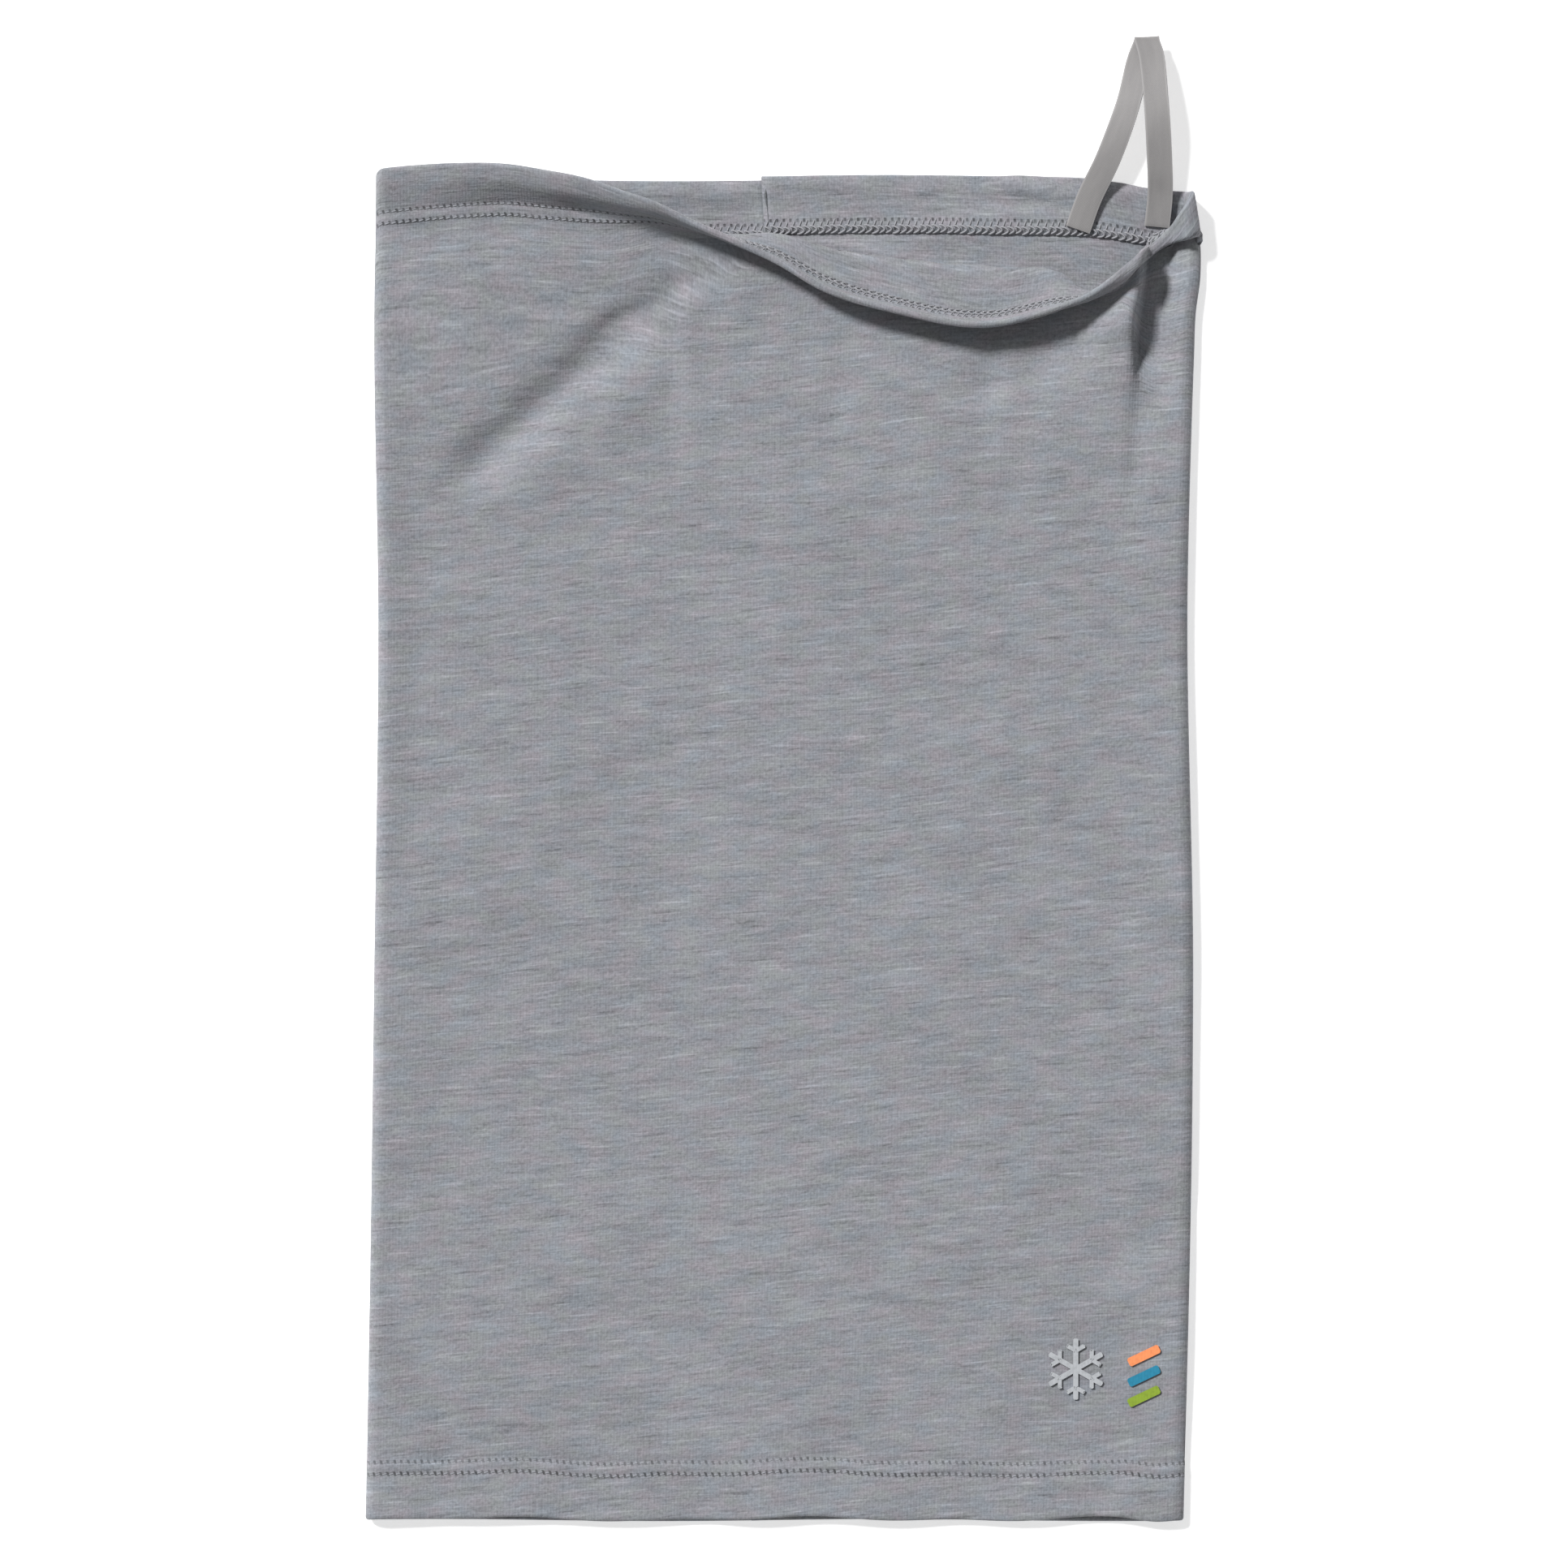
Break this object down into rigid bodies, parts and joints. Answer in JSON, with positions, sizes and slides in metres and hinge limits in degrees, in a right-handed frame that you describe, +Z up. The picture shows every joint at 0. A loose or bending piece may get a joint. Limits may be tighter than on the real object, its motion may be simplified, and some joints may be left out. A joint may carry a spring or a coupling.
{
  "type": "neck gaiter",
  "caption": "Lightweight knitted neck gaiter lying flat: a seamed jersey tube with coverstitched hems, a sagging mouth and a tape ear loop.",
  "frame": {"origin": "under the middle of the whole object, on the surface that the back layer lies on", "axes": "+Y runs along the tube from the bottom hem to the top hem and the ear loop, +X runs across the front layer to the side with the ear loop, +Z points up from the back layer to the front layer"},
  "size_m": [0.242, 0.436, 0.0085],
  "materials": {
    "jersey": "heathered grey wool jersey, matte",
    "facing": "the same jersey, inside face, matte",
    "tape": "woven twill tape, matte",
    "needle_thread": "spun sewing thread",
    "looper_thread": "textured sewing thread",
    "print_grey": "heat-pressed film, satin",
    "accent_orange": "heat-pressed film, satin",
    "accent_teal": "heat-pressed film, satin",
    "accent_green": "heat-pressed film, satin"
  },
  "bodies": {
    "back_layer": {"back_panel_left": "jersey", "back_panel_right": "jersey", "back_seam": "facing", "back_seam_stitch": "looper_thread", "left_side_fold": "jersey", "right_side_fold": "jersey", "top_hem_back": "facing", "bottom_hem_back": "facing", "top_needle_thread_upper_back": "needle_thread", "top_needle_thread_lower_back": "needle_thread", "top_looper_thread_back": "looper_thread", "bottom_needle_thread_upper_back": "needle_thread", "bottom_needle_thread_lower_back": "needle_thread", "bottom_looper_thread_back": "looper_thread"},
    "front_layer": {"front_panel": "jersey", "top_hem_front": "facing", "bottom_hem_front": "facing", "top_needle_thread_upper_front": "needle_thread", "top_needle_thread_lower_front": "needle_thread", "top_looper_thread_front": "looper_thread", "bottom_needle_thread_upper_front": "needle_thread", "bottom_needle_thread_lower_front": "needle_thread", "bottom_looper_thread_front": "looper_thread", "snowflake_print": "print_grey", "accent_stripe_orange": "accent_orange", "accent_stripe_teal": "accent_teal", "accent_stripe_green": "accent_green"},
    "ear_loop": {"ear_loop": "tape"}
  },
  "joints": [
    {"name": "mouth_open", "type": "hinge", "parent": "back_layer", "child": "front_layer", "pos_m": [0, -0.218, 0.0082], "axis": [1, 0, 0], "range_deg": [0, 5]},
    {"name": "ear_loop_swing", "type": "hinge", "parent": "back_layer", "child": "ear_loop", "pos_m": [0.0975, 0.164, 0.00165], "axis": [1, 0, 0], "range_deg": [0, 90]}
  ]
}
